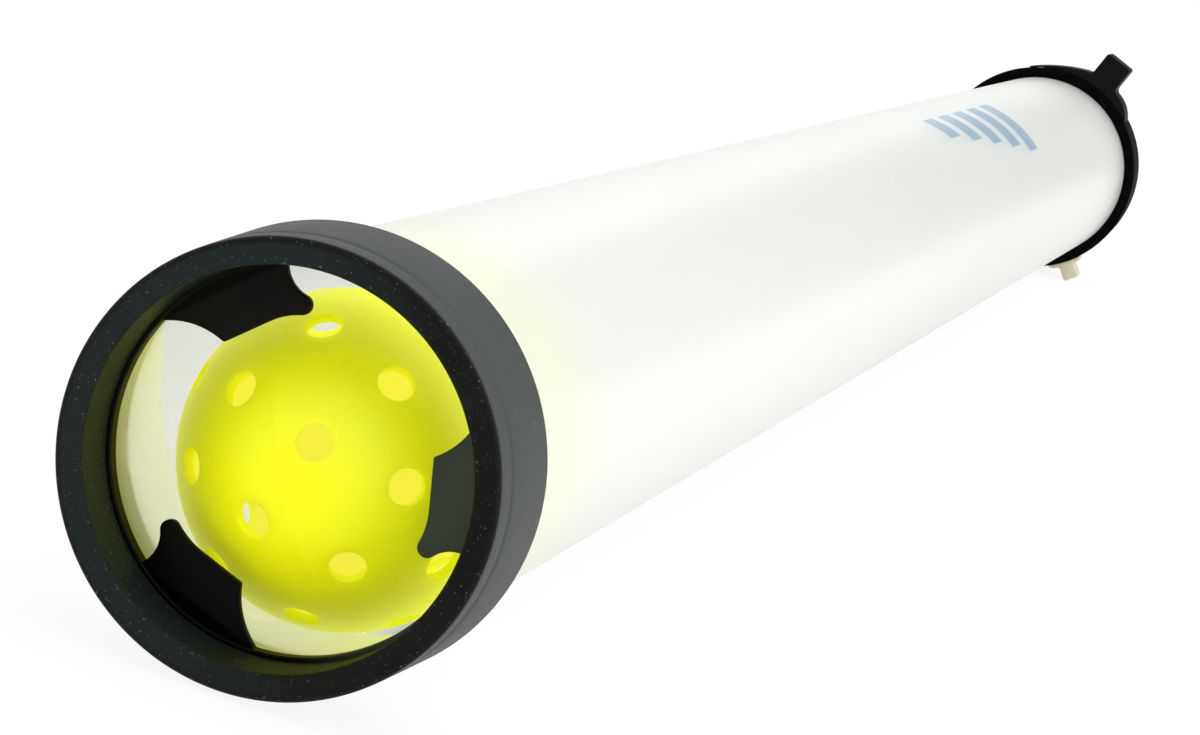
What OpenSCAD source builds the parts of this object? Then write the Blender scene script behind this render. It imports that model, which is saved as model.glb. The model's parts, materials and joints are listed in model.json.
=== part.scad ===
// Pickleball pickup tube: a clear tube with a moulded rubber collar and a three-flap valve at each end.
// It lies on its collars along Y, mouth towards -Y, with the floor at z = 0 and its middle at y = 0.
// A clock angle is counted clockwise from the top, as seen from the mouth.

/* [Tube] */
// Length of the clear tube
tube_len = 1109; // [300:1:1500]
// Outer diameter of the clear tube
tube_od = 87; // [84:0.5:120]
// Wall of the clear tube
tube_wall = 1.3; // [0.8:0.1:3]

/* [Collars] */
// Length of a collar along the tube
collar_len = 32; // [26:0.5:60]
// Depth of the throat in front of the valve
throat_len = 14; // [10:0.5:18]
// Width of the step that stops the valve ring
seat_step = 2.1; // [1.2:0.1:4]
// Rubber outside the tube at the collar's front
front_wall = 3.8; // [3:0.1:8]
// Rubber outside the tube at the collar's back
rear_wall = 4.9; // [3:0.1:9]
// Rounding of the front's outer edge
outer_round = 1.4; // [0.5:0.1:2.5]
// Rounding of the front's inner edge
inner_round = 1.5; // [0.5:0.1:2]
// Width of the band in front of the crease
band_w = 8; // [5:0.5:12]
// Depth of the crease round the collar
crease_d = 0.4; // [0.2:0.1:0.8]
// Width of the crease round the collar
crease_w = 1.4; // [0.8:0.1:3]
// Chamfer of the collar's back edges
rear_chamfer = 0.6; // [0.2:0.1:1]
// Gap between the collar and what it holds
collar_fit = 0.1; // [0.05:0.05:0.3]

/* [Flap valves] */
// Thickness of the valve ring along the tube
valve_t = 3.5; // [3:0.1:7]
// Radial width of the valve ring
valve_rim = 3; // [2:0.1:6]
// Thickness of a flap
flap_t = 2; // [0.8:0.1:2.4]
// Gap of the hinge line between the ring and a flap
hinge_gap = 0.3; // [0.2:0.05:0.6]
// Angle that a flap's root takes of the ring
root_span = 43; // [34:1:56]
// Distance of a flap's free edge from the ring, measured inwards
flap_len = 12; // [8:0.5:16]
// Distance of a flap's sharp corner from its middle
corner_side = 4.6; // [2:0.1:8]
// Distance of the middle of a flap's horn from the flap's middle
horn_side = 14.1; // [12:0.1:16]
// Radius of the horn's tip
horn_r = 2.1; // [1.5:0.1:3.2]
// Distance that the horn reaches inwards past the free edge
horn_dip = 1.8; // [0.5:0.1:3]
// Radius of the free edge where it curls into the horn
curl_r = 16; // [8:0.5:24]
// Radius of the hollow between the horn and the root
neck_r = 7.2; // [6:0.1:12]
// Hollow of the edge between a flap's root and its corner
edge_hollow = 1.4; // [0.5:0.1:2.5]
// Depth of the flaps behind the valve ring's back face
flap_set = 0.3; // [0.1:0.05:0.8]
// Clock angle of the first mouth flap
mouth_flap_at = -41.1; // [-180:0.1:180]
// Clock angle of the first top flap
top_flap_at = 17.8; // [-180:0.1:180]

/* [Lugs] */
// Height of the hanging lug's tip over the collar
hang_h = 16.8; // [8:0.1:30]
// Width of the hanging lug's block
hang_w = 13.6; // [8:0.1:24]
// Length of the hanging lug along the tube
hang_len = 14; // [6:0.5:24]
// Clock angle of the hanging lug
hang_at = 21.7; // [0:0.1:60]
// Angle from the hanging lug's middle to the left edge of its saddle
hang_left = 24; // [14:1:50]
// Angle from the hanging lug's middle to the right edge of its saddle
hang_right = 42; // [14:1:60]
// Height of the hanging lug's saddle over the collar
hang_saddle = 3.6; // [1.5:0.1:6]
// Height of the natural lug's tip over the collar
natural_h = 8.8; // [4:0.1:16]
// Width of the natural lug's block
natural_w = 7; // [4:0.1:12]
// Length of the natural lug along the tube
natural_len = 11; // [5:0.5:20]
// Angle from the natural lug's middle to the left edge of its saddle
natural_left = 10; // [7:0.5:20]
// Angle from the natural lug's middle to the right edge of its saddle
natural_right = 8; // [7:0.5:20]
// Height of the natural lug's saddle over the collar
natural_saddle = 1.6; // [1:0.1:3]
// Gap under the natural lug while the part stands level on its collars
natural_clear = 0.3; // [0.1:0.1:1]
// Thickness of a saddle's thin edge
lug_edge = 0.6; // [0.3:0.1:1]
// Rounding of the lugs' outer corners
lug_round = 1.2; // [0.5:0.1:2]
// Distance of both lugs from the collar's back edge
lug_inset = 1; // [0:0.1:3]
// Bond line between a lug and its collar
bond = 0.1; // [0.05:0.05:0.3]

/* [Ball] */
// Diameter of the ball
ball_d = 74; // [70:0.1:76]
// Wall of the ball
ball_wall = 2.3; // [1.5:0.1:4]
// Diameter of the ball's holes
ball_hole_d = 8; // [5:0.1:9]
// Gap between the ball and what it could touch
ball_gap = 0.3; // [0.2:0.05:1]

/* [Hidden] */
$fn = 96;
tube_or = tube_od / 2;
tube_ir = tube_or - tube_wall;
seat_r = tube_or + collar_fit;
throat_r = seat_r - seat_step;
front_r = tube_or + front_wall;
rear_r = tube_or + rear_wall;
total_len = tube_len + 2 * (throat_len + valve_t);
axis_z = max(front_r, rear_r);

ring_or = tube_or;
ring_ir = ring_or - valve_rim;
hinge_x = ring_ir * cos(root_span / 2);
root_half = ring_ir * sin(root_span / 2);
edge_x = ring_ir - flap_len;
horn = [edge_x + horn_r - horn_dip, horn_side];
flap_z = throat_len + valve_t - flap_t - flap_set;
flaps = [0, 1, 2];
flap_step = 120;

// The mouth flaps swing into the tube about their back face
hinge_y = flap_z + flap_t;
flap_reach = norm([hinge_x - edge_x + horn_dip, flap_t]);
ball_r = ball_d / 2;
ball_drop = tube_ir - ball_r - ball_gap;
ball_y = hinge_y + sqrt(pow(ball_r + flap_reach + ball_gap, 2) - pow(hinge_x - ball_drop, 2));
// Rows of holes over one half of the ball: latitude, count, turn
ball_rows = [[13.1, 8, 0], [39.9, 8, 22.5], [67.5, 4, 0]];
ball_halves = [1, -1];
half_turn = 22.5;
ball_spin = [-48.2, -46.8, -127.9];

// The part lies on its collars and leans on the natural lug's rounded corner, so the lug's clock angle follows
lug_corner = [rear_r + natural_h - lug_round, natural_w / 2 - lug_round];
lug_fall = axis_z - lug_round - natural_clear;
natural_at = 180 - acos(lug_fall / norm(lug_corner)) - atan(lug_corner[1] / lug_corner[0]);

function polar(r, a) = [r * cos(a), r * sin(a)];
function arc(c, r, a0, a1, n = 8) = [for (i = [0:n]) c + polar(r, a0 + (a1 - a0) * i / n)];
function turn(v) = atan2(v[1], v[0]);

// Point at distance p from a and q from b, to the left of the way from a to b
function meet(a, p, b, q) = let (d = norm(b - a), u = (b - a) / d, x = (d * d + p * p - q * q) / (2 * d))
    a + x * u + sqrt(p * p - x * x) * [-u[1], u[0]];

// Shallow curve from a to b that rises to the left
function bow(a, b, rise, n = 8) = let (u = (b - a) / norm(b - a))
    [for (i = [0:n]) let (s = i / n) a + (b - a) * s + 4 * s * (1 - s) * rise * [-u[1], u[0]]];

// Local frames: z runs along the tube into the part, x is level and -y is up
module mouth_end() translate([0, -total_len / 2, axis_z]) rotate([-90, 0, 0]) children();
module top_end() translate([0, total_len / 2, axis_z]) rotate([-90, 0, 180]) children();

// Turns x outwards at a clock angle, and y clockwise
module at_clock(a) rotate([0, 0, a - 90]) children();

module tube() color("ghostwhite", 0.4)
    mouth_end() translate([0, 0, throat_len + valve_t]) difference() {
        cylinder(r = tube_or, h = tube_len);
        translate([0, 0, -1]) cylinder(r = tube_ir, h = tube_len + 2);
    }

function outer_r(z) = front_r + (rear_r - front_r) * z / collar_len;

// One moulding serves both ends: throat, step for the valve ring, and sleeve over the tube
module collar() rotate_extrude() polygon(concat(
    arc([throat_r + inner_round, inner_round], inner_round, 180, 270),
    arc([front_r - outer_round, outer_round], outer_round, -90, 0),
    [[outer_r(band_w), band_w],
     [outer_r(band_w) - crease_d, band_w + crease_w / 2],
     [outer_r(band_w + crease_w), band_w + crease_w],
     [rear_r, collar_len - rear_chamfer],
     [rear_r - rear_chamfer, collar_len],
     [seat_r + rear_chamfer, collar_len],
     [seat_r, collar_len - rear_chamfer],
     [seat_r, throat_len],
     [throat_r, throat_len]]));

// Ring with a web behind each flap's hinge line
module valve_ring() {
    translate([0, 0, throat_len]) difference() {
        cylinder(r = ring_or, h = valve_t);
        translate([0, 0, -1]) cylinder(r = ring_ir, h = valve_t + 2);
    }
    for (i = flaps) rotate([0, 0, i * flap_step]) translate([0, 0, flap_z])
        linear_extrude(flap_t) intersection() {
            circle(r = ring_ir + valve_rim / 2);
            translate([hinge_x, -root_half]) square([valve_rim + ring_ir, 2 * root_half]);
        }
}

// A leaf with a hollow edge, a sharp corner, a straight free edge and a horn; all its curves are tangent
module flap() {
    root_x = hinge_x - hinge_gap;
    side = root_half - 2 * hinge_gap;
    corner = [edge_x, -corner_side];
    neck = meet(horn, horn_r + neck_r, [root_x, side], neck_r);
    curl_rise = curl_r + horn[0] - edge_x;
    curl = [edge_x - curl_r, horn[1] - sqrt(pow(curl_r + horn_r, 2) - pow(curl_rise, 2))];
    translate([0, 0, flap_z]) linear_extrude(flap_t) polygon(concat(
        bow(corner, [root_x, -side], edge_hollow),
        arc(neck, neck_r, turn([root_x, side] - neck), turn(horn - neck)),
        arc(horn, horn_r, turn(neck - horn), 360 + turn(curl - horn)),
        arc(curl, curl_r, turn(horn - curl), 0)));
}

// A block on a saddle that wraps the collar; x is up, and the saddle thins out to both sides
module lug(h, w, len, left, right, saddle) {
    tip = rear_r + h;
    foot = rear_r + saddle;
    edge = tip - lug_round;
    side = w / 2;
    fillet = 0.8 * saddle;
    bed = min(front_r, rear_r) - lug_edge;
    thin = rear_r + lug_edge;
    translate([0, 0, collar_len - lug_inset - len]) difference() {
        linear_extrude(len) polygon(concat(
            [polar(bed, -left), polar(thin, -left)],
            bow(polar(thin, -left), [foot, -side - fillet], -saddle / 3, 6),
            arc([foot + fillet, -side - fillet], fillet, 180, 90, 6),
            arc([edge, -side + lug_round], lug_round, -90, 0, 6),
            arc([edge, side - lug_round], lug_round, 0, 90, 6),
            arc([foot + fillet, side + fillet], fillet, -90, -180, 6),
            bow([foot, side + fillet], polar(thin, right), -saddle / 3, 6),
            [polar(bed, right)]));
        translate([0, 0, lug_inset + len - collar_len])
            cylinder(r1 = front_r + bond, r2 = rear_r + bond, h = collar_len);
    }
}

module ball() color("yellow")
    translate([0, ball_y - total_len / 2, axis_z - ball_drop]) rotate(ball_spin) difference() {
        sphere(r = ball_r);
        sphere(r = ball_r - ball_wall);
        for (half = ball_halves, row = ball_rows, i = [0:row[1] - 1])
            rotate([0, 90 - half * row[0], row[2] + (1 - half) / 2 * half_turn + i * 360 / row[1]])
                translate([0, 0, ball_r - 2 * ball_wall]) cylinder(d = ball_hole_d, h = 3 * ball_wall, $fn = 48);
    }

module mouth_collar() color("darkslategray") mouth_end() collar();
module mouth_valve_ring() color("black") mouth_end() at_clock(mouth_flap_at) valve_ring();
module mouth_flap(i) color("dimgray") mouth_end() at_clock(mouth_flap_at + i * flap_step) flap();
module top_collar() color("black") top_end() collar();
module top_valve_ring() color("black") top_end() at_clock(-top_flap_at) valve_ring();
module top_flap(i) color("dimgray") top_end() at_clock(-top_flap_at - i * flap_step) flap();
module hanging_lug() color("black") top_end() at_clock(-hang_at)
    lug(hang_h, hang_w, hang_len, hang_left, hang_right, hang_saddle);
module natural_lug() color("wheat") top_end() at_clock(-natural_at)
    lug(natural_h, natural_w, natural_len, natural_left, natural_right, natural_saddle);

tube();
mouth_collar();
mouth_valve_ring();
mouth_flap(0);  // mouth_flap_a
mouth_flap(1);  // mouth_flap_b
mouth_flap(2);  // mouth_flap_c
top_collar();
top_valve_ring();
top_flap(0);  // top_flap_a
top_flap(1);  // top_flap_b
top_flap(2);  // top_flap_c
hanging_lug();
natural_lug();
ball();
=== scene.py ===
import json
import math
import bmesh
import bpy
from mathutils import Matrix, Vector


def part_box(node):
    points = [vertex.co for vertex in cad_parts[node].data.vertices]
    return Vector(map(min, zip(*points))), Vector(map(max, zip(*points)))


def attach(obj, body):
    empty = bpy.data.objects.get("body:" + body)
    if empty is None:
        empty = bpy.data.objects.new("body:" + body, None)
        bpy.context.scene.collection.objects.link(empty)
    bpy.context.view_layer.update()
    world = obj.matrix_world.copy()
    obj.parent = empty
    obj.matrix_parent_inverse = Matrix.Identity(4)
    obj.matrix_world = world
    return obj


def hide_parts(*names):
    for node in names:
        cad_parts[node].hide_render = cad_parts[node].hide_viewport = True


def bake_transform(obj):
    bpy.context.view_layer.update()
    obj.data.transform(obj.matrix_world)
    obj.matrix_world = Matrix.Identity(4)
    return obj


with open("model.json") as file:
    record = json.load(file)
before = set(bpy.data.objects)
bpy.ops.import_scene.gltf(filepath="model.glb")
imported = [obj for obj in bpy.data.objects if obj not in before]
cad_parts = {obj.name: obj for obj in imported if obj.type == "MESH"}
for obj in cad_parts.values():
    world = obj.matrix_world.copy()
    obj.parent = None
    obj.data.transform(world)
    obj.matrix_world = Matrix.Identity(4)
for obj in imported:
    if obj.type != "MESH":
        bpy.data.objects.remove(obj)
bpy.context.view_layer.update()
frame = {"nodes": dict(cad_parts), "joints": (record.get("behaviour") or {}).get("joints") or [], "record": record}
mm = 0.001

# Places and radii come from the frame
mounts = {m["name"]: m for m in frame["record"]["mounts"]}
joints = {j["name"]: j for j in frame["joints"]}
axisHeight = mounts["tube_grip"]["pos_m"][2]
tubeRadius = mounts["tube_grip"]["dims"]["r_mm"] * mm
throatRadius = mounts["mouth_bore"]["dims"]["r_mm"] * mm
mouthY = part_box("mouth_collar")[0].y
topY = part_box("top_collar")[1].y
tubeEnds = (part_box("tube")[0].y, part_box("tube")[1].y)
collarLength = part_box("mouth_collar")[1].y - mouthY

# Points closer than weldMm are one point. An edge that turns by more than sharpAngle degrees looks
# sharp, and one that turns by more than brokenAngle is rounded, in brokenSteps rows of faces. In a
# copy of a CAD solid, points within cadWeldMm and faces that turn by under flatAngle are merged
meshRules = {"weldMm": 0.0004, "sharpAngle": 35, "brokenAngle": 50, "brokenSteps": 3,
             "cadWeldMm": 0.01, "flatAngle": 1}


def linearOf(code):
    # sRGB hex to the linear colour that the shaders take
    parts = [int(code[i:i + 2], 16) / 255 for i in (0, 2, 4)]
    linear = [c / 12.92 if c <= 0.04045 else ((c + 0.055) / 1.055) ** 2.4 for c in parts]
    return (*linear, 1.0)


def addNode(tree, kind, values=None, links=None, **settings):
    # values fill sockets by name or number, links join another node's output to a socket
    node = tree.nodes.new(kind)
    for name, value in settings.items():
        setattr(node, name, value)
    for key, value in (values or {}).items():
        node.inputs[key].default_value = value
    for key, output in (links or {}).items():
        tree.links.new(output, node.inputs[key])
    return node


def newMaterial(name):
    material = bpy.data.materials.new(name)
    material.use_nodes = True
    tree = material.node_tree
    tree.nodes.clear()
    return material, tree


def finishMaterial(material, tree, shader):
    addNode(tree, "ShaderNodeOutputMaterial", links={"Surface": shader.outputs[0]})
    return material


def patternScale(sizeMm):
    # Repeats per metre of a pattern whose features are this many millimetres wide
    return 1000.0 / sizeMm


def smoothFaces(mesh, angle):
    # Smooth shading, with the edges that turn by more than the angle left sharp
    for face in mesh.polygons:
        face.use_smooth = True
    mesh.set_sharp_from_angle(angle=math.radians(angle))


def meshObject(name, mesh, material):
    piece = bpy.data.objects.new(name, mesh)
    bpy.context.scene.collection.objects.link(piece)
    mesh.materials.clear()
    mesh.materials.append(material)
    smoothFaces(mesh, meshRules["sharpAngle"])
    return piece


def applyModifiers(piece):
    depsgraph = bpy.context.evaluated_depsgraph_get()
    made = bpy.data.meshes.new_from_object(piece.evaluated_get(depsgraph))
    piece.modifiers.clear()
    piece.data = made


def roundEdges(piece, widthMm):
    bevel = piece.modifiers.new("round", "BEVEL")
    bevel.width = widthMm * mm
    bevel.segments = meshRules["brokenSteps"]
    bevel.limit_method = "ANGLE"
    bevel.angle_limit = math.radians(meshRules["brokenAngle"])
    applyModifiers(piece)


def cleanMesh(mesh):
    # Welds points that lie together, takes out faces with no area and splits faces of many corners
    work = bmesh.new()
    work.from_mesh(mesh)
    near = meshRules["weldMm"] * mm
    bmesh.ops.remove_doubles(work, verts=work.verts, dist=near)
    bmesh.ops.dissolve_degenerate(work, edges=work.edges, dist=near)
    bmesh.ops.triangulate(work, faces=[f for f in work.faces if len(f.verts) > 4])
    bmesh.ops.dissolve_degenerate(work, edges=work.edges, dist=near)
    work.to_mesh(mesh)
    work.free()


def arcPoints(centre, radius, start, end, count):
    # An arc in a profile plane, angles in degrees, in count steps
    angles = [math.radians(start + (end - start) * i / count) for i in range(count + 1)]
    return [(centre[0] + radius * math.cos(a), centre[1] + radius * math.sin(a)) for a in angles]


def revolve(name, profile, segments, material):
    # Turns a closed profile of (radius, y) round the tube's axis
    mesh = bpy.data.meshes.new(name)
    count = len(profile)
    points, faces = [], []
    for s in range(segments):
        turn = 2 * math.pi * s / segments
        for r, y in profile:
            points.append((r * math.sin(turn), y, axisHeight + r * math.cos(turn)))
    for s in range(segments):
        for p in range(count):
            a, b = s * count, ((s + 1) % segments) * count
            q = (p + 1) % count
            faces.append((a + p, a + q, b + q, b + p))
    mesh.from_pydata(points, [], faces)
    work = bmesh.new()
    work.from_mesh(mesh)
    bmesh.ops.recalc_face_normals(work, faces=work.faces)
    work.to_mesh(mesh)
    work.free()
    return meshObject(name, mesh, material)


# Carbon-filled rubber of the collars, compression moulded: near black with a teal cast, a fine
# matt grain, pale dust in its pores that lies thicker on one side, painted shade on the other, a near
# black arris, a painted grey sheen on the outer wall, and a painted dark shadow line at the back rim, broken by
# torn brown flash
collarLook = {
    "mouth": {"clean": "0a0b06", "dusty": "161f1f", "side": "3e4241", "speck": "7d8a80",
              "rimShade": "010201", "torn": "4a3c22", "specks": 0.5, "specular": 0.12,
              "roughness": (0.46, 0.62)},
    "top": {"clean": "020203", "dusty": "040506", "side": "07080a", "speck": "20242a",
            "rimShade": "020202", "torn": "050505", "specks": 0.2, "specular": 0.04,
            "roughness": (0.6, 0.75)},
}
# Pairs say where a mark starts and where it is whole: a cut on its noise, the rest in millimetres,
# dust and painted shade to the right of the axis, painted sheen and arris in from the front's edge, painted rim
# shadow from the back
collarGrain = {"cloudMm": 20, "dustMm": (46, -10), "dustAndShadeLean": 0.35, "dustAndShadeCut": (0.3, 0.75),
               "sheenWallMm": (0.8, 0.1), "arrisMm": (1.7, 0.85), "rimMm": (1.12, 0.56),
               "tearMm": 5.0, "tearCut": (0.5, 0.56), "speckMm": 0.8, "speckCut": (0.64, 0.78),
               "grainMm": 0.5, "bump": 0.35, "bumpMm": 0.12, "ior": 1.5}


def mouldedRubber(end, startY, way):
    # way is +1 where the collar runs towards +Y, and -1 where it is turned round
    material, tree = newMaterial(end + "CollarRubber")
    look = {**collarLook[end], **collarGrain}
    place = addNode(tree, "ShaderNodeTexCoord").outputs["Object"]
    split = addNode(tree, "ShaderNodeSeparateXYZ", links={0: place})
    cloud = addNode(tree, "ShaderNodeTexNoise",
                    {"Scale": patternScale(look["cloudMm"]), "Detail": 3.0}, {"Vector": place})
    # Dust and painted shade: dust thick on the left, the right painted darker as shade, broken by the cloud
    thin, thick = (x * mm for x in look["dustMm"])
    side = addNode(tree, "ShaderNodeMapRange",
                   {"From Min": thin, "From Max": thick, "To Min": -look["dustAndShadeLean"],
                    "To Max": look["dustAndShadeLean"]},
                   {"Value": split.outputs["X"]})
    heap = addNode(tree, "ShaderNodeMath", links={0: cloud.outputs["Fac"], 1: side.outputs[0]},
                   operation="ADD")
    start, whole = look["dustAndShadeCut"]
    dustAndShade = addNode(tree, "ShaderNodeMapRange", {"From Min": start, "From Max": whole},
                   {"Value": heap.outputs[0]})
    # Distance from the axis and from the front face, in millimetres
    lifted = addNode(tree, "ShaderNodeVectorMath", {1: (0, 0, -axisHeight)}, {0: place},
                     operation="ADD")
    flat = addNode(tree, "ShaderNodeVectorMath", {1: (1 / mm, 0, 1 / mm)},
                   {0: lifted.outputs[0]}, operation="MULTIPLY")
    radius = addNode(tree, "ShaderNodeVectorMath", links={0: flat.outputs[0]}, operation="LENGTH")
    depth = addNode(tree, "ShaderNodeMath", {1: way / mm, 2: -startY * way / mm},
                    {0: split.outputs["Y"]}, operation="MULTIPLY_ADD")
    corner = addNode(tree, "ShaderNodeMath", {1: -1.0},
                     {0: radius.outputs["Value"], 2: depth.outputs[0]}, operation="MULTIPLY_ADD")
    # The rounded outer edge of the front is painted near black
    frontRadius = tubeRadius / mm + collarShape["frontWall"]
    start, whole = (size - frontRadius for size in look["arrisMm"])
    arris = addNode(tree, "ShaderNodeMapRange", {"From Min": start, "From Max": whole},
                    {"Value": corner.outputs[0]})
    face = addNode(tree, "ShaderNodeMix",
                   {6: linearOf(look["clean"]), 7: linearOf(look["dusty"])},
                   {0: dustAndShade.outputs[0]}, data_type="RGBA")
    # Painted sheen: the outer wall is painted grey for the grazing light that falls on it
    start, whole = (frontRadius - size for size in look["sheenWallMm"])
    outside = addNode(tree, "ShaderNodeMapRange", {"From Min": start, "From Max": whole},
                      {"Value": radius.outputs["Value"]})
    paintedSheenWall = addNode(tree, "ShaderNodeMix", {7: linearOf(look["side"])},
                     {0: outside.outputs[0], 6: face.outputs[2]}, data_type="RGBA")
    body = addNode(tree, "ShaderNodeMix", {7: linearOf(look["clean"])},
                   {0: arris.outputs[0], 6: paintedSheenWall.outputs[2]}, data_type="RGBA")
    pores = addNode(tree, "ShaderNodeTexNoise",
                    {"Scale": patternScale(look["speckMm"]), "Detail": 2.0, "Roughness": 0.6},
                    {"Vector": place})
    start, whole = look["speckCut"]
    specks = addNode(tree, "ShaderNodeMapRange",
                     {"From Min": start, "From Max": whole, "To Max": look["specks"]},
                     {"Value": pores.outputs["Fac"]})
    dusty = addNode(tree, "ShaderNodeMix", {7: linearOf(look["speck"])},
                    {0: specks.outputs[0], 6: body.outputs[2]}, data_type="RGBA")
    # Painted shadow: a dark line along the back rim, where it meets the tube, broken here and there by torn flash
    # in brown
    tear = addNode(tree, "ShaderNodeTexNoise",
                   {"Scale": patternScale(look["tearMm"]), "Detail": 4.0}, {"Vector": place})
    start, whole = look["tearCut"]
    torn = addNode(tree, "ShaderNodeMapRange", {"From Min": start, "From Max": whole},
                   {"Value": tear.outputs["Fac"]})
    rimShadeLine = addNode(tree, "ShaderNodeMix",
                   {6: linearOf(look["rimShade"]), 7: linearOf(look["torn"])},
                   {0: torn.outputs[0]}, data_type="RGBA")
    start, whole = (collarLength / mm - size for size in look["rimMm"])
    rim = addNode(tree, "ShaderNodeMapRange", {"From Min": start, "From Max": whole},
                  {"Value": depth.outputs[0]})
    colour = addNode(tree, "ShaderNodeMix",
                     links={0: rim.outputs[0], 6: dusty.outputs[2], 7: rimShadeLine.outputs[2]},
                     data_type="RGBA")
    smooth, coarse = look["roughness"]
    rough = addNode(tree, "ShaderNodeMapRange", {"To Min": smooth, "To Max": coarse},
                    {"Value": cloud.outputs["Fac"]})
    grain = addNode(tree, "ShaderNodeTexNoise",
                    {"Scale": patternScale(look["grainMm"]), "Detail": 3.0}, {"Vector": place})
    bump = addNode(tree, "ShaderNodeBump",
                   {"Strength": look["bump"], "Distance": look["bumpMm"] * mm},
                   {"Height": grain.outputs["Fac"]})
    shader = addNode(tree, "ShaderNodeBsdfPrincipled",
                     {"IOR": look["ior"], "Specular IOR Level": look["specular"]},
                     {"Base Color": colour.outputs[2], "Roughness": rough.outputs[0],
                      "Normal": bump.outputs[0]})
    return finishMaterial(material, tree, shader)


# Softer rubber of the flaps, injection moulded: smoother than the collar, dark with an olive cast.
# It is darker low down, up to a height above the axis, and dusty to the right of it, both in millimetres
flapLook = {"dark": "020201", "olive": "14180c", "dusty": "3e4438", "cloudMm": 14,
            "darkLowMm": (-10, 20), "dustMm": (12, 34), "roughness": (0.36, 0.5), "grainMm": 0.7,
            "bump": 0.2, "bumpMm": 0.1, "ior": 1.52, "specular": 0.07}


def flapRubber():
    material, tree = newMaterial("flapRubber")
    look = flapLook
    place = addNode(tree, "ShaderNodeTexCoord").outputs["Object"]
    split = addNode(tree, "ShaderNodeSeparateXYZ", links={0: place})
    cloud = addNode(tree, "ShaderNodeTexNoise",
                    {"Scale": patternScale(look["cloudMm"]), "Detail": 3.0}, {"Vector": place})
    # The rubber is blackest low down and olive higher up, and dust has greyed it on the right
    start, whole = (axisHeight + z * mm for z in look["darkLowMm"])
    high = addNode(tree, "ShaderNodeMapRange", {"From Min": start, "From Max": whole},
                   {"Value": split.outputs["Z"]})
    share = addNode(tree, "ShaderNodeMath", links={0: high.outputs[0], 1: cloud.outputs["Fac"]},
                    operation="MULTIPLY")
    plain = addNode(tree, "ShaderNodeMix",
                    {6: linearOf(look["dark"]), 7: linearOf(look["olive"])},
                    {0: share.outputs[0]}, data_type="RGBA")
    start, whole = (x * mm for x in look["dustMm"])
    side = addNode(tree, "ShaderNodeMapRange", {"From Min": start, "From Max": whole},
                   {"Value": split.outputs["X"]})
    body = addNode(tree, "ShaderNodeMix", {7: linearOf(look["dusty"])},
                   {0: side.outputs[0], 6: plain.outputs[2]}, data_type="RGBA")
    smooth, coarse = look["roughness"]
    rough = addNode(tree, "ShaderNodeMapRange", {"To Min": smooth, "To Max": coarse},
                    {"Value": cloud.outputs["Fac"]})
    grain = addNode(tree, "ShaderNodeTexNoise", {"Scale": patternScale(look["grainMm"])},
                    {"Vector": place})
    bump = addNode(tree, "ShaderNodeBump",
                   {"Strength": look["bump"], "Distance": look["bumpMm"] * mm},
                   {"Height": grain.outputs["Fac"]})
    shader = addNode(tree, "ShaderNodeBsdfPrincipled",
                     {"IOR": look["ior"], "Specular IOR Level": look["specular"]},
                     {"Base Color": body.outputs[2], "Roughness": rough.outputs[0],
                      "Normal": bump.outputs[0]})
    return finishMaterial(material, tree, shader)


# Frosted polypropylene tube, extruded. Its outer skin carries the haze: a milky white that light
# soaks through, a dim blurred view of what lies behind, a soft gloss, faint draw lines along it,
# and a print, whose place is in degrees round the tube and metres along it
tubeLook = {"body": "f8faf7", "soak": "fbfdf8", "cloudMm": 90, "roughness": (0.26, 0.36),
            "lineMm": (2.2, 60), "bump": 0.15, "bumpMm": 0.1, "ior": 1.15, "clear": 0.5,
            "soakShare": 0.36, "sharpShare": 0.14, "coat": 0.5, "coatRoughness": 0.22,
            "coatIor": 1.49, "print": "a9c6de", "printAcross": (4, 47),
            "printAlong": (0.118, 0.292), "printBars": 5, "printThick": 0.62,
            "printShortest": 0.4, "printStep": 0.12}


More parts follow.
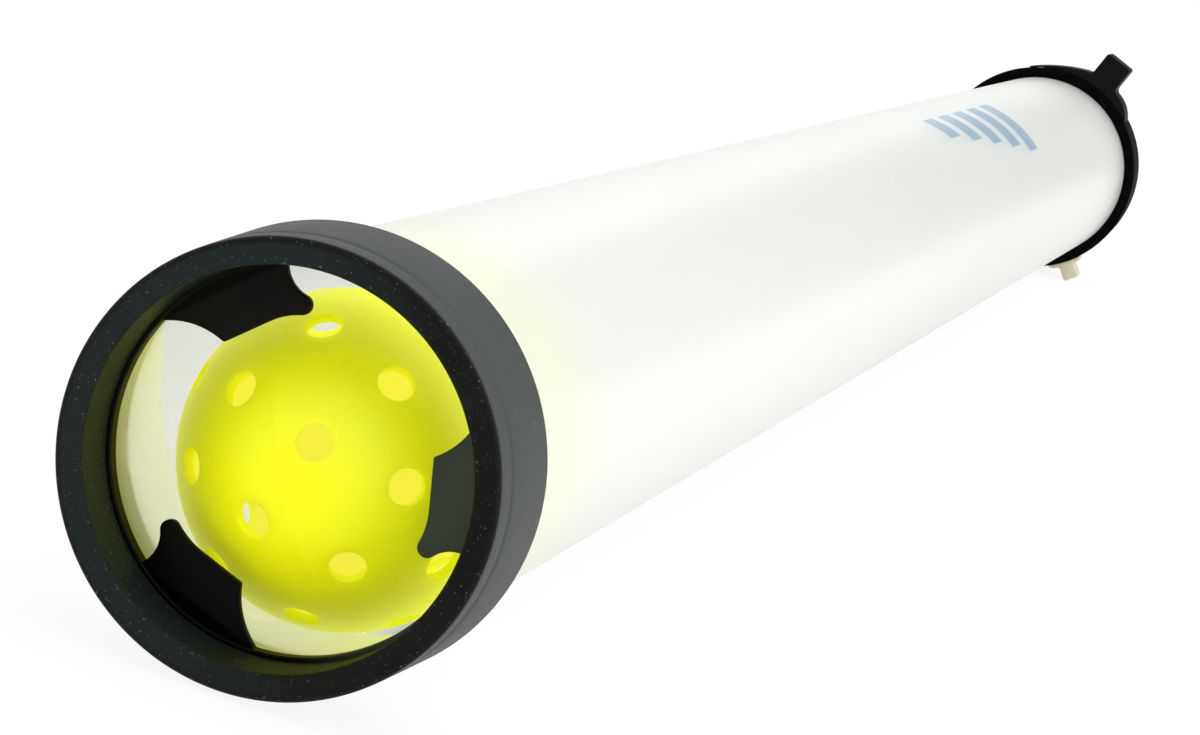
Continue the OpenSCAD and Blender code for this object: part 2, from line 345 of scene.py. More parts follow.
def frostedSkin():
    material, tree = newMaterial("frostedPolypropylene")
    look = tubeLook
    place = addNode(tree, "ShaderNodeTexCoord").outputs["Object"]
    cloud = addNode(tree, "ShaderNodeTexNoise",
                    {"Scale": patternScale(look["cloudMm"]), "Detail": 2.0}, {"Vector": place})
    across, along = (patternScale(size) for size in look["lineMm"])
    drawn = addNode(tree, "ShaderNodeMapping", {"Scale": (across, along, across)},
                    {"Vector": place})
    lines = addNode(tree, "ShaderNodeTexNoise", {"Scale": 1.0, "Detail": 3.0},
                    {"Vector": drawn.outputs[0]})
    smooth, coarse = look["roughness"]
    rough = addNode(tree, "ShaderNodeMapRange", {"To Min": smooth, "To Max": coarse},
                    {"Value": cloud.outputs["Fac"]})
    bump = addNode(tree, "ShaderNodeBump",
                   {"Strength": look["bump"], "Distance": look["bumpMm"] * mm},
                   {"Height": lines.outputs["Fac"]})
    # A plain print near the far end: pale blue bars across the tube, one shorter than the next
    split = addNode(tree, "ShaderNodeSeparateXYZ", links={0: place})
    height = addNode(tree, "ShaderNodeMath", {1: axisHeight}, {0: split.outputs["Z"]},
                     operation="SUBTRACT")
    clock = addNode(tree, "ShaderNodeMath", links={0: split.outputs["X"], 1: height.outputs[0]},
                    operation="ARCTAN2")
    start, end = (math.radians(a) for a in look["printAcross"])
    acrossShare = addNode(tree, "ShaderNodeMapRange", {"From Min": start, "From Max": end},
                          {"Value": clock.outputs[0]}, clamp=False).outputs[0]
    start, end = look["printAlong"]
    barCount = addNode(tree, "ShaderNodeMapRange",
                       {"From Min": start, "From Max": end, "To Max": look["printBars"]},
                       {"Value": split.outputs["Y"]}, clamp=False).outputs[0]
    bar = addNode(tree, "ShaderNodeMath", links={0: barCount}, operation="FRACT")
    number = addNode(tree, "ShaderNodeMath", links={0: barCount}, operation="FLOOR")
    reach = addNode(tree, "ShaderNodeMath", {1: look["printStep"], 2: look["printShortest"]},
                    {0: number.outputs[0]}, operation="MULTIPLY_ADD")
    tests = [addNode(tree, "ShaderNodeMath", {1: look["printThick"]}, {0: bar.outputs[0]},
                     operation="LESS_THAN"),
             addNode(tree, "ShaderNodeMath", {1: 0.0}, {0: acrossShare},
                     operation="GREATER_THAN"),
             addNode(tree, "ShaderNodeMath", links={0: acrossShare, 1: reach.outputs[0]},
                     operation="LESS_THAN"),
             addNode(tree, "ShaderNodeMath", {1: 0.0}, {0: barCount}, operation="GREATER_THAN"),
             addNode(tree, "ShaderNodeMath", {1: look["printBars"]}, {0: barCount},
                     operation="LESS_THAN")]
    inked = tests[0]
    for test in tests[1:]:
        inked = addNode(tree, "ShaderNodeMath", links={0: inked.outputs[0], 1: test.outputs[0]},
                        operation="MULTIPLY")
    body = addNode(tree, "ShaderNodeMix",
                   {6: linearOf(look["body"]), 7: linearOf(look["print"])},
                   {0: inked.outputs[0]}, data_type="RGBA")
    soaked = addNode(tree, "ShaderNodeMix",
                     {6: linearOf(look["soak"]), 7: linearOf(look["print"])},
                     {0: inked.outputs[0]}, data_type="RGBA")
    skin = addNode(tree, "ShaderNodeBsdfPrincipled",
                   {"IOR": look["ior"], "Transmission Weight": look["clear"],
                    "Coat Weight": look["coat"], "Coat Roughness": look["coatRoughness"],
                    "Coat IOR": look["coatIor"]},
                   {"Base Color": body.outputs[2], "Roughness": rough.outputs[0],
                    "Normal": bump.outputs[0]})
    soak = addNode(tree, "ShaderNodeBsdfTranslucent", links={"Color": soaked.outputs[2]})
    hazed = addNode(tree, "ShaderNodeMixShader", {0: look["soakShare"]},
                    {1: skin.outputs[0], 2: soak.outputs[0]})
    # A small part of the light goes straight through, so what is near the wall has a faint outline
    sharp = addNode(tree, "ShaderNodeBsdfTransparent")
    mixed = addNode(tree, "ShaderNodeMixShader", {0: look["sharpShare"]},
                    {1: hazed.outputs[0], 2: sharp.outputs[0]})
    return finishMaterial(material, tree, mixed)


# Inner skin of the tube: clear, with the mirror gloss that the die leaves
innerLook = {"roughness": 0.08, "ior": 1.49}


def clearSkin():
    material, tree = newMaterial("clearInnerSkin")
    look = innerLook
    gloss = addNode(tree, "ShaderNodeBsdfGlossy",
                    {"Color": (1, 1, 1, 1), "Roughness": look["roughness"]})
    through = addNode(tree, "ShaderNodeBsdfTransparent")
    # Both faces of the wall mirror what is inside: 2R / (1 + R), where one face mirrors R
    angle = addNode(tree, "ShaderNodeFresnel", {"IOR": look["ior"]})
    more = addNode(tree, "ShaderNodeMath", {1: 1.0}, {0: angle.outputs[0]}, operation="ADD")
    twice = addNode(tree, "ShaderNodeMath", {1: 2.0}, {0: angle.outputs[0]}, operation="MULTIPLY")
    ratio = addNode(tree, "ShaderNodeMath", links={0: twice.outputs[0], 1: more.outputs[0]},
                    operation="DIVIDE")
    mixed = addNode(tree, "ShaderNodeMixShader",
                    links={0: ratio.outputs[0], 1: through.outputs[0], 2: gloss.outputs[0]})
    return finishMaterial(material, tree, mixed)


# Ball of rotomoulded polyethylene: bright yellow-green, satin, with light soaking through its thin
# wall. A painted glow, an emission in its own colour, makes it outshine its surroundings, most of
# all its inner skin, which is also painted as a paler, lit copy of the colour
ballLook = {
    "outside": {"body": "eeee10", "deep": "e2ea16", "glow": "e0f40c", "paintedGlowStrength": 0.18},
    "paintedLitInside": {"body": "f2ee3c", "deep": "ecea38", "glow": "f4f084", "paintedGlowStrength": 0.2},
}
ballGrain = {"cloudMm": 30, "cloudCut": (0.35, 0.75), "roughness": (0.42, 0.52), "grainMm": 0.8,
             "bump": 0.12, "bumpMm": 0.1, "ior": 1.5, "soakColour": (1.0, 0.95, 0.25),
             "soakMm": 6}


def ballPlastic(side):
    material, tree = newMaterial("ballPolyethylene." + side)
    look = {**ballLook[side], **ballGrain}
    place = addNode(tree, "ShaderNodeTexCoord").outputs["Object"]
    cloud = addNode(tree, "ShaderNodeTexNoise",
                    {"Scale": patternScale(look["cloudMm"]), "Detail": 2.0}, {"Vector": place})
    start, whole = look["cloudCut"]
    share = addNode(tree, "ShaderNodeMapRange", {"From Min": start, "From Max": whole},
                    {"Value": cloud.outputs["Fac"]})
    body = addNode(tree, "ShaderNodeMix",
                   {6: linearOf(look["body"]), 7: linearOf(look["deep"])},
                   {0: share.outputs[0]}, data_type="RGBA")
    grain = addNode(tree, "ShaderNodeTexNoise",
                    {"Scale": patternScale(look["grainMm"]), "Detail": 2.0}, {"Vector": place})
    bump = addNode(tree, "ShaderNodeBump",
                   {"Strength": look["bump"], "Distance": look["bumpMm"] * mm},
                   {"Height": grain.outputs["Fac"]})
    smooth, coarse = look["roughness"]
    rough = addNode(tree, "ShaderNodeMapRange", {"To Min": smooth, "To Max": coarse},
                    {"Value": cloud.outputs["Fac"]})
    # The emission is a painted glow in the ball's own colour
    shader = addNode(tree, "ShaderNodeBsdfPrincipled",
                     {"IOR": look["ior"], "Subsurface Weight": 1.0,
                      "Subsurface Radius": look["soakColour"],
                      "Subsurface Scale": look["soakMm"] * mm,
                      "Emission Color": linearOf(look["glow"]),
                      "Emission Strength": look["paintedGlowStrength"]},
                     {"Base Color": body.outputs[2], "Roughness": rough.outputs[0],
                      "Normal": bump.outputs[0]})
    return finishMaterial(material, tree, shader)


# Lugs: black nylon with a satin moulded skin, and uncoloured nylon that looks like cream wax
lugLook = {
    "black": {"body": "030405", "pale": "08090b", "soak": 0.0, "specular": 0.1, "roundMm": 0.8},
    "natural": {"body": "c8c0a0", "pale": "d6cfb4", "soak": 0.3, "specular": 0.4, "roundMm": 0.5},
}
lugGrain = {"cloudMm": 9, "cloudCut": (0.3, 0.7), "grainMm": 0.8, "bump": 0.25, "bumpMm": 0.1,
            "roughness": 0.5, "ior": 1.53, "soakMm": 2}


def lugNylon(kind):
    material, tree = newMaterial(kind + "Nylon")
    look = {**lugLook[kind], **lugGrain}
    place = addNode(tree, "ShaderNodeTexCoord").outputs["Object"]
    cloud = addNode(tree, "ShaderNodeTexNoise",
                    {"Scale": patternScale(look["cloudMm"]), "Detail": 3.0}, {"Vector": place})
    start, whole = look["cloudCut"]
    share = addNode(tree, "ShaderNodeMapRange", {"From Min": start, "From Max": whole},
                    {"Value": cloud.outputs["Fac"]})
    body = addNode(tree, "ShaderNodeMix",
                   {6: linearOf(look["body"]), 7: linearOf(look["pale"])},
                   {0: share.outputs[0]}, data_type="RGBA")
    grain = addNode(tree, "ShaderNodeTexNoise", {"Scale": patternScale(look["grainMm"])},
                    {"Vector": place})
    bump = addNode(tree, "ShaderNodeBump",
                   {"Strength": look["bump"], "Distance": look["bumpMm"] * mm},
                   {"Height": grain.outputs["Fac"]})
    shader = addNode(tree, "ShaderNodeBsdfPrincipled",
                     {"Roughness": look["roughness"], "IOR": look["ior"],
                      "Specular IOR Level": look["specular"], "Subsurface Weight": look["soak"],
                      "Subsurface Scale": look["soakMm"] * mm},
                     {"Base Color": body.outputs[2], "Normal": bump.outputs[0]})
    return finishMaterial(material, tree, shader)


# Collar: rounded front edge, a band, a soft crease, and a wall that thickens to the back, over a
# seat with a little fit for the tube (millimetres)
collarShape = {"frontWall": 3.8, "rearWall": 4.9, "outerRound": 1.4, "innerRound": 1.5,
               "band": 8.0, "creaseDepth": 0.35, "creaseWidth": 1.6, "creaseSteps": 12,
               "rearRound": 0.7, "throat": 14.0, "seatFit": 0.1, "segments": 360}


def collarProfile(startY, way):
    # way is +1 where the collar runs towards +Y, and -1 where it is turned round
    s = collarShape
    front = tubeRadius + s["frontWall"] * mm
    rear = tubeRadius + s["rearWall"] * mm
    seat = tubeRadius + s["seatFit"] * mm
    inner, outer, back = s["innerRound"] * mm, s["outerRound"] * mm, s["rearRound"] * mm

    def wallAt(z):
        return front + (rear - front) * z / collarLength

    points = arcPoints((throatRadius + inner, inner), inner, 180, 270, 8)
    points += arcPoints((front - outer, outer), outer, -90, 0, 10)
    for i in range(s["creaseSteps"] + 1):
        share = i / s["creaseSteps"]
        z = (s["band"] - s["creaseWidth"] + 2 * s["creaseWidth"] * share) * mm
        dip = s["creaseDepth"] * mm * math.sin(math.pi * share) ** 2
        points.append((wallAt(z) - dip, z))
    points += arcPoints((rear - back, collarLength - back), back, 0, 90, 5)
    points += arcPoints((seat + back, collarLength - back), back, 90, 180, 4)
    points += [(seat, s["throat"] * mm), (throatRadius, s["throat"] * mm)]
    return [(r, startY + way * z) for r, z in points]


def buildCollars():
    for name, startY, way in (("mouth", mouthY, 1), ("top", topY, -1)):
        material = mouldedRubber(name, startY, way)
        piece = revolve(name + "CollarMoulding", collarProfile(startY, way),
                        collarShape["segments"], material)
        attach(piece, "tube_body")
        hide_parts(name + "_collar")


# Tube: wall in millimetres, ends cut square with the saw burr broken off
tubeShape = {"wall": 1.3, "burr": 0.2, "segments": 256, "rings": 40}


def buildTube(skin, innerSkin):
    s = tubeShape
    inner, burr = tubeRadius - s["wall"] * mm, s["burr"] * mm
    low, high = tubeEnds
    length = high - low - 2 * burr
    steps = [low + burr + length * i / s["rings"] for i in range(s["rings"] + 1)]
    profile = [(tubeRadius, y) for y in steps]
    profile += [(tubeRadius - burr, high), (inner + burr, high)]
    profile += [(inner, y) for y in reversed(steps)]
    profile += [(inner + burr, low), (tubeRadius - burr, low)]
    piece = revolve("frostedTube", profile, s["segments"], skin)
    piece.data.materials.append(innerSkin)
    # The bore has the inner skin, up to the broken edges of its ends
    for face in piece.data.polygons:
        middle = face.center - Vector((0, 0, axisHeight))
        face.material_index = 1 if math.hypot(middle.x, middle.z) < inner + burr / 4 else 0
    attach(piece, "tube_body")
    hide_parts("tube")


# Flap outline in millimetres, as the CAD node has it; x points out from the tube's axis and y runs
# round it. web is the width of the rubber that bends, and sunk how far the root runs into the ring
flapShape = {"rim": 3.0, "rootSpan": 43, "length": 12.0, "cornerSide": 4.6, "hornSide": 14.1,
             "hornRadius": 2.1, "hornDip": 1.8, "curlRadius": 16.0, "neckRadius": 7.2,
             "edgeHollow": 1.4, "edgeRound": 0.35, "bendSteps": 8, "web": 2.4, "sunk": 0.5}


def turnOf(start, end):
    return math.degrees(math.atan2(end[1] - start[1], end[0] - start[0]))


def circlesMeet(a, p, b, q):
    # Point at distance p from a and q from b, to the left of the way from a to b
    gap = math.dist(a, b)
    ux, uy = (b[0] - a[0]) / gap, (b[1] - a[1]) / gap
    along = (gap * gap + p * p - q * q) / (2 * gap)
    off = math.sqrt(p * p - along * along)
    return a[0] + along * ux - off * uy, a[1] + along * uy + off * ux


def bowPoints(a, b, rise, count=10):
    # From a to b, bowed to the left by rise at the middle
    length = math.dist(a, b)
    left = (-(b[1] - a[1]) / length, (b[0] - a[0]) / length)
    shares = [i / count for i in range(count + 1)]
    lift = [4 * t * (1 - t) * rise for t in shares]
    return [(a[0] + (b[0] - a[0]) * t + left[0] * h, a[1] + (b[1] - a[1]) * t + left[1] * h)
            for t, h in zip(shares, lift)]


def flapOutline():
    # Hollow edge, sharp corner, straight free edge that curls into a horn, and a neck tangent to it
    s = flapShape
    ring = tubeRadius / mm - s["rim"]
    half = math.radians(s["rootSpan"] / 2)
    hinge, side = ring * math.cos(half), ring * math.sin(half)
    free, small = ring - s["length"], s["hornRadius"]
    corner, rootLow, rootHigh = (free, -s["cornerSide"]), (hinge, -side), (hinge, side)
    horn = (free + small - s["hornDip"], s["hornSide"])
    neck = circlesMeet(horn, small + s["neckRadius"], rootHigh, s["neckRadius"])
    reach = s["curlRadius"] + small
    fall = math.sqrt(reach ** 2 - (horn[0] - free + s["curlRadius"]) ** 2)
    curl = (free - s["curlRadius"], horn[1] - fall)
    points = bowPoints(corner, rootLow, s["edgeHollow"])
    # The root runs on into the ring, so that the rubber is whole across the bend
    points += arcPoints((0, 0), ring + s["sunk"], -s["rootSpan"] / 2, s["rootSpan"] / 2, 24)
    points += arcPoints(neck, s["neckRadius"], turnOf(neck, rootHigh), turnOf(neck, horn), 8)
    points += arcPoints(horn, small, turnOf(horn, neck), 360 + turnOf(horn, curl), 14)[1:]
    points += arcPoints(curl, s["curlRadius"], turnOf(curl, horn), 0, 10)[1:]
    return points, hinge


def buildFlap(name, joint, node, side, material):
    s = flapShape
    outline, hinge = flapOutline()
    pivot = Vector(joint["pos_m"])
    outward = Vector((pivot.x, 0, pivot.z - axisHeight)).normalized()
    tangent = Vector(joint["axis"]) * side
    low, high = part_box(node)[0].y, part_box(node)[1].y
    middle = Vector((0, low, axisHeight))
    work = bmesh.new()
    ring = [work.verts.new(middle + outward * x * mm + tangent * y * mm) for x, y in outline]
    face = work.faces.new(ring)
    solid = bmesh.ops.extrude_face_region(work, geom=[face])
    raised = [v for v in solid["geom"] if isinstance(v, bmesh.types.BMVert)]
    bmesh.ops.translate(work, verts=raised, vec=(0, high - low, 0))
    bmesh.ops.recalc_face_normals(work, faces=work.faces)
    mesh = bpy.data.meshes.new(name)
    work.to_mesh(mesh)
    work.free()
    piece = meshObject(name, mesh, material)
    roundEdges(piece, s["edgeRound"])
    # Rows of vertices across the bend
    work = bmesh.new()
    work.from_mesh(piece.data)
    for i in range(s["bendSteps"] + 1):
        x = hinge + s["web"] - 2 * s["web"] * i / s["bendSteps"]
        everything = work.verts[:] + work.edges[:] + work.faces[:]
        bmesh.ops.bisect_plane(work, geom=everything, plane_co=middle + outward * x * mm,
                               plane_no=outward)
    work.to_mesh(piece.data)
    work.free()
    cleanMesh(piece.data)
    smoothFaces(piece.data, meshRules["sharpAngle"])
    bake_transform(piece)
    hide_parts(node)


# Valve ring: the rim that the collar and the tube clamp, with broken edges (millimetres)
ringShape = {"chamfer": 0.35, "segments": 256}


def buildValves(material):
    s = ringShape
    for end, side in (("mouth", 1), ("top", -1)):
        low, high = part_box(end + "_valve_ring")[0].y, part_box(end + "_valve_ring")[1].y
        outer, inner = tubeRadius, tubeRadius - flapShape["rim"] * mm
        cut = s["chamfer"] * mm
        profile = [(outer, low), (outer, high), (inner + cut, high), (inner, high - cut),
                   (inner, low + cut), (inner + cut, low)]
        piece = revolve(end + "ValveRim", profile, s["segments"], material)
        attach(piece, "tube_body")
        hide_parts(end + "_valve_ring")
        for letter in "abc":
            joint = joints[f"{end}_flap_{letter}_bend"]
            buildFlap(f"{end}FlapRubber.{letter}", joint, f"{end}_flap_{letter}", side, material)


# Ball, in millimetres and degrees: rows of holes as latitude, count and turn over one half; the
# other half is turned by halfTurn. drillLength is in walls, and inside begins insideFrom walls deep
ballShape = {"wall": 2.3, "hole": 8.0, "holeSides": 40, "drillLength": 4.0, "insideFrom": 0.8,
             "rows": ((13.1, 8, 0), (39.9, 8, 22.5), (67.5, 4, 0)), "halfTurn": 22.5,
             "spin": (-48.2, -46.8, -127.9), "seamHigh": 0.12, "seamWide": 0.9,
             "around": 192, "across": 96, "sharpAngle": 40}


def ballShell():
    # Closed shell about the local z axis, with the weld seam as a low ridge on its equator
    s = ballShape
    low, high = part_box("ball")
    radius = (high.y - low.y) / 2
    wall = s["wall"] * mm
    lats = [-90 + 180 * i / s["across"] for i in range(s["across"] + 1)]
    seam = math.degrees(s["seamWide"] * mm / radius)
    lats = sorted(lats + [-seam, -seam / 2, seam / 2, seam])
    around = s["around"]
    points, faces, rings = [], [], []

    def layer(shellRadius, ridge, flip):
        first = len(rings)
        for lat in lats:
            a = math.radians(lat)
            lift = ridge * max(0, math.cos(math.pi / 2 * min(1, abs(lat) / seam)))
            r = shellRadius + lift
            if lat in (lats[0], lats[-1]):
                rings.append([len(points)])
                points.append((0, 0, math.copysign(shellRadius, lat)))
            else:
                rings.append(list(range(len(points), len(points) + around)))
                for k in range(around):
                    turn = 2 * math.pi * k / around
                    points.append((r * math.cos(a) * math.cos(turn),
                                   r * math.cos(a) * math.sin(turn), r * math.sin(a)))
        for i in range(first, len(rings) - 1):
            lower, upper = rings[i], rings[i + 1]
            for k in range(around):
                n = (k + 1) % around
                if len(lower) == 1:
                    face = (lower[0], upper[n], upper[k])
                elif len(upper) == 1:
                    face = (lower[k], lower[n], upper[0])
                else:
                    face = (lower[k], lower[n], upper[n], upper[k])
                faces.append(tuple(reversed(face)) if flip else face)

    layer(radius, s["seamHigh"] * mm, False)
    layer(radius - wall, 0, True)
    mesh = bpy.data.meshes.new("ballShell")
    mesh.from_pydata(points, [], faces)
    return mesh, radius, (low + high) / 2


def perforation():
    # Node tree that drills a shell: one ring of cutters for each row of holes
    s = ballShape
    tree = bpy.data.node_groups.new("ballPerforation", "GeometryNodeTree")
    for name, kind in (("Geometry", "Geometry"), ("Hole Radius", "Float"),
                       ("Ball Radius", "Float"), ("Wall", "Float"), ("Material", "Material")):
        tree.interface.new_socket(name, in_out="INPUT", socket_type="NodeSocket" + kind)
    tree.interface.new_socket("Geometry", in_out="OUTPUT", socket_type="NodeSocketGeometry")
    entry = addNode(tree, "NodeGroupInput")
    depth = addNode(tree, "ShaderNodeMath", {1: s["drillLength"]}, {0: entry.outputs["Wall"]},
                    operation="MULTIPLY")
    cutter = addNode(tree, "GeometryNodeMeshCylinder", {"Vertices": s["holeSides"]},
                     {"Radius": entry.outputs["Hole Radius"], "Depth": depth.outputs[0]})
    rows = []
    for half in (1, -1):
        for latitude, count, turn in s["rows"]:
            lat = math.radians(half * latitude)
            ringSize = addNode(tree, "ShaderNodeMath", {1: math.cos(lat)},
                               {0: entry.outputs["Ball Radius"]}, operation="MULTIPLY")
            height = addNode(tree, "ShaderNodeMath", {1: math.sin(lat)},
                             {0: entry.outputs["Ball Radius"]}, operation="MULTIPLY")
            lift = addNode(tree, "ShaderNodeCombineXYZ", links={"Z": height.outputs[0]})
            circle = addNode(tree, "GeometryNodeMeshCircle", {"Vertices": count},
                             {"Radius": ringSize.outputs[0]})
            angle = math.radians(turn + (s["halfTurn"] if half < 0 else 0))
            row = addNode(tree, "GeometryNodeTransform", {"Rotation": (0, 0, angle)},
                          {"Geometry": circle.outputs[0], "Translation": lift.outputs[0]})
            rows.append(row)
    spots = addNode(tree, "GeometryNodeJoinGeometry")
    for row in rows:
        tree.links.new(row.outputs[0], spots.inputs[0])
    place = addNode(tree, "GeometryNodeInputPosition")
    facing = addNode(tree, "FunctionNodeAlignRotationToVector",
                     links={"Vector": place.outputs[0]}, axis="Z")
    drills = addNode(tree, "GeometryNodeInstanceOnPoints",
                     links={"Points": spots.outputs[0], "Instance": cutter.outputs["Mesh"],
                            "Rotation": facing.outputs[0]})
    loose = addNode(tree, "GeometryNodeRealizeInstances", links={0: drills.outputs[0]})
    drilled = addNode(tree, "GeometryNodeMeshBoolean",
                      links={0: entry.outputs["Geometry"], 1: loose.outputs[0]},
                      operation="DIFFERENCE", solver="EXACT")
    painted = addNode(tree, "GeometryNodeSetMaterial",
                      links={0: drilled.outputs[0], "Material": entry.outputs["Material"]})
    addNode(tree, "NodeGroupOutput", links={0: painted.outputs[0]})
    return tree


def buildBall(material, insideMaterial):
    s = ballShape
    mesh, radius, centre = ballShell()
    piece = meshObject("drilledBall", mesh, material)
    tree = perforation()
    inputs = {item.name: item.identifier for item in tree.interface.items_tree
              if item.in_out == "INPUT"}
    drill = piece.modifiers.new("drill", "NODES")
    drill.node_group = tree
    drill[inputs["Hole Radius"]] = s["hole"] / 2 * mm
    drill[inputs["Ball Radius"]] = radius
    drill[inputs["Wall"]] = s["wall"] * mm
    drill[inputs["Material"]] = material
    applyModifiers(piece)
    cleanMesh(piece.data)
    piece.data.materials.append(insideMaterial)
    deep = radius - s["insideFrom"] * s["wall"] * mm
    for face in piece.data.polygons:
        face.material_index = 1 if face.center.length < deep else 0
    x, y, z = (math.radians(a) for a in s["spin"])
    spin = Matrix.Rotation(z, 4, "Z") @ Matrix.Rotation(y, 4, "Y") @ Matrix.Rotation(x, 4, "X")
    piece.data.transform(Matrix.Translation(centre) @ spin)
    smoothFaces(piece.data, s["sharpAngle"])
    print("ball", len(piece.data.polygons), "faces")
    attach(piece, "ball_body")
    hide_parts("ball")


def buildLug(node, name, kind):
    # A copy of the CAD solid with its edges broken
    source = frame["nodes"][node].data.copy()
    work = bmesh.new()
    work.from_mesh(source)
    bmesh.ops.remove_doubles(work, verts=work.verts, dist=meshRules["cadWeldMm"] * mm)
    bmesh.ops.dissolve_limit(work, angle_limit=math.radians(meshRules["flatAngle"]),
                             verts=work.verts, edges=work.edges)
    bmesh.ops.recalc_face_normals(work, faces=work.faces)
    work.to_mesh(source)
    work.free()
    piece = meshObject(name, source, lugNylon(kind))
    roundEdges(piece, lugLook[kind]["roundMm"])
    cleanMesh(piece.data)
    smoothFaces(piece.data, meshRules["sharpAngle"])
    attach(piece, "tube_body")
    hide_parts(node)


# Camera: where the mouth's middle lies as it sees it (millimetres right, down and ahead), how the
# tube's axis is turned to it, and how far the tube is rolled from the view's upright (degrees)
cameraView = {"focalPixels": 3756.4, "imageWidth": 1200, "sensor": 36.0, "clip": (0.01, 50),
              "yaw": 14.458, "pitch": 6.093, "roll": -18.3,
              "mouthSeen": (-65.42, 20.80, 752.5)}


def placeCamera():
    s = cameraView
    yaw, pitch = math.radians(s["yaw"]), math.radians(s["pitch"])
    right = Vector((math.cos(yaw), math.cos(pitch) * math.sin(yaw),
                    -math.sin(pitch) * math.sin(yaw)))
    ahead = Vector((-math.sin(yaw), math.cos(pitch) * math.cos(yaw),
                    -math.sin(pitch) * math.cos(yaw)))
    down = Vector((0, -math.sin(pitch), -math.cos(pitch)))
    x, y, z = s["mouthSeen"]
    away = -(right * x + down * y + ahead * z) * mm
    roll = Matrix.Rotation(math.radians(s["roll"]), 3, "Y")
    turn = (roll @ Matrix((right, -down, -ahead)).transposed()).to_4x4()
    mouth = Vector((0, mouthY, axisHeight))
    camera = bpy.data.objects.new("camera", bpy.data.cameras.new("camera"))
    camera.data.sensor_width = s["sensor"]
    camera.data.lens = s["focalPixels"] / s["imageWidth"] * s["sensor"]
    camera.data.clip_start, camera.data.clip_end = s["clip"]
    camera.matrix_world = Matrix.Translation(mouth + roll @ away) @ turn
    bpy.context.scene.collection.objects.link(camera)
    bpy.context.scene.camera = camera


# Light: a white room, with one part dimmed in front, which the collar's face mirrors, and one
# behind, which the tube's side mirrors (the way to each, the cosines at its edge and core, and its
# share of the light), and two soft lamps (place, side in metres and watts) that point at aim
lightPlan = {
    "room": 1.24,
    "dims": (((-0.25, -0.96, -0.12), (0.62, 0.93), 0.6),
             ((0.14, 0.96, 0.215), (0.955, 0.994), 0.1)),
    "lamps": (((0.9, -0.1, 1.6), 1.4, 10.0), ((1.6, -0.9, 0.5), 0.9, 5.0)),
    "aim": (0, -0.4, axisHeight),
}


def seenRays(tree):
    # Rays of the camera, straight or through the tube, and these with the rays that gloss mirrors
    path = addNode(tree, "ShaderNodeLightPath").outputs
    straight = addNode(tree, "ShaderNodeMath",
                       links={0: path["Is Camera Ray"], 1: path["Is Transmission Ray"]},
                       operation="MAXIMUM")
    seen = addNode(tree, "ShaderNodeMath",
                   links={0: straight.outputs[0], 1: path["Is Glossy Ray"]},
                   operation="MAXIMUM")
    return straight.outputs[0], seen.outputs[0]


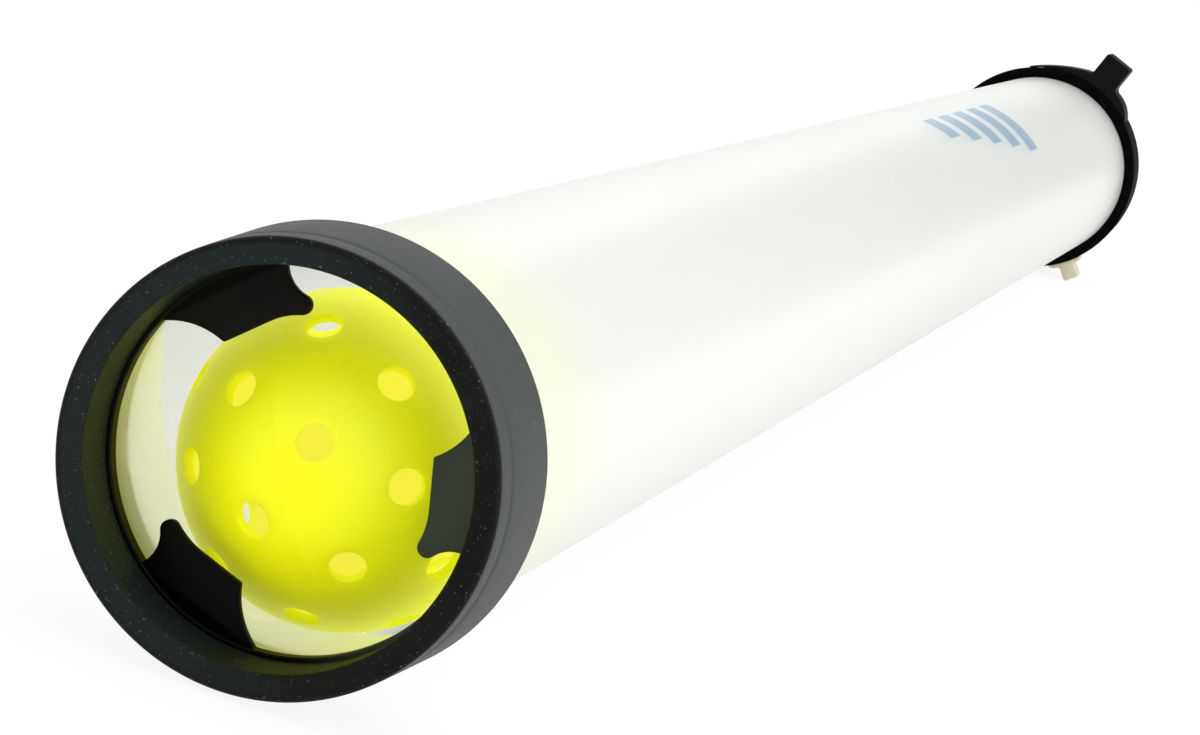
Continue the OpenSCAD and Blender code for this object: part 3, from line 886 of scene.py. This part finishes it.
def buildLight():
    world = bpy.data.worlds.new("studio")
    bpy.context.scene.world = world
    world.use_nodes = True
    tree = world.node_tree
    tree.nodes.clear()
    place = addNode(tree, "ShaderNodeTexCoord").outputs["Generated"]
    shares = []
    for way, (edge, core), share in lightPlan["dims"]:
        cosine = addNode(tree, "ShaderNodeVectorMath", {1: Vector(way).normalized()}, {0: place},
                         operation="DOT_PRODUCT")
        dim = addNode(tree, "ShaderNodeMapRange",
                      {"From Min": edge, "From Max": core, "To Min": 1.0, "To Max": share},
                      {"Value": cosine.outputs["Value"]}, interpolation_type="SMOOTHSTEP")
        shares.append(dim.outputs[0])
    both = addNode(tree, "ShaderNodeMath", links={0: shares[0], 1: shares[1]},
                   operation="MULTIPLY")
    # The camera sees a plain white of 1. Gloss mirrors that white and matt surfaces take the room's
    # level, both with the dimmed parts
    straight, seen = seenRays(tree)
    level = addNode(tree, "ShaderNodeMix", {2: lightPlan["room"], 3: 1.0}, {0: seen})
    dimmed = addNode(tree, "ShaderNodeMath", links={0: level.outputs[0], 1: both.outputs[0]},
                     operation="MULTIPLY")
    strength = addNode(tree, "ShaderNodeMix", {3: 1.0}, {0: straight, 2: dimmed.outputs[0]})
    room = addNode(tree, "ShaderNodeBackground", {"Color": (1, 1, 1, 1)},
                   {"Strength": strength.outputs[0]})
    addNode(tree, "ShaderNodeOutputWorld", links={"Surface": room.outputs[0]})
    for number, (place, size, power) in enumerate(lightPlan["lamps"]):
        lamp = bpy.data.lights.new(f"lamp{number}", "AREA")
        lamp.size = size
        lamp.energy = power
        holder = bpy.data.objects.new(f"lamp{number}", lamp)
        holder.location = place
        way = Vector(lightPlan["aim"]) - Vector(place)
        holder.rotation_euler = way.to_track_quat("-Z", "Y").to_euler()
        bpy.context.scene.collection.objects.link(holder)


# Floor: a pale matt sheet (metres). It shows as white for the most part, and keeps a faint shadow
floorLook = {"matt": 0.9, "white": 1.0, "whiteShare": 0.9, "halfSide": 8.0, "height": 0.0}


def buildFloor():
    s = floorLook
    material, tree = newMaterial("paleFloor")
    grey, white = s["matt"], s["white"]
    matt = addNode(tree, "ShaderNodeBsdfDiffuse", {"Color": (grey, grey, grey, 1)})
    glow = addNode(tree, "ShaderNodeEmission", {"Color": (1, 1, 1, 1), "Strength": white})
    share = addNode(tree, "ShaderNodeMath", {1: s["whiteShare"]}, {0: seenRays(tree)[1]},
                    operation="MULTIPLY")
    mixed = addNode(tree, "ShaderNodeMixShader",
                    links={0: share.outputs[0], 1: matt.outputs[0], 2: glow.outputs[0]})
    finishMaterial(material, tree, mixed)
    mesh = bpy.data.meshes.new("floor")
    side = s["halfSide"]
    corners = [(-side, -side), (side, -side), (side, side), (-side, side)]
    mesh.from_pydata([(x, y, s["height"]) for x, y in corners], [], [(0, 1, 2, 3)])
    floor = meshObject("floor", mesh, material)


placeCamera()
print("stage: camera placed")
buildCollars()
buildTube(frostedSkin(), clearSkin())
print("stage: collars and tube made")
buildValves(flapRubber())
print("stage: valves made")
# The inner skin gets a paler, painted lit copy of the ball's colour
buildBall(ballPlastic("outside"), ballPlastic("paintedLitInside"))
buildLug("hanging_lug", "hangingLugNylon", "black")
buildLug("natural_lug", "naturalLugNylon", "natural")
print("stage: ball and lugs made")
buildLight()
buildFloor()
print("stage: light and floor made")
bpy.context.scene.view_settings.view_transform = "Standard"
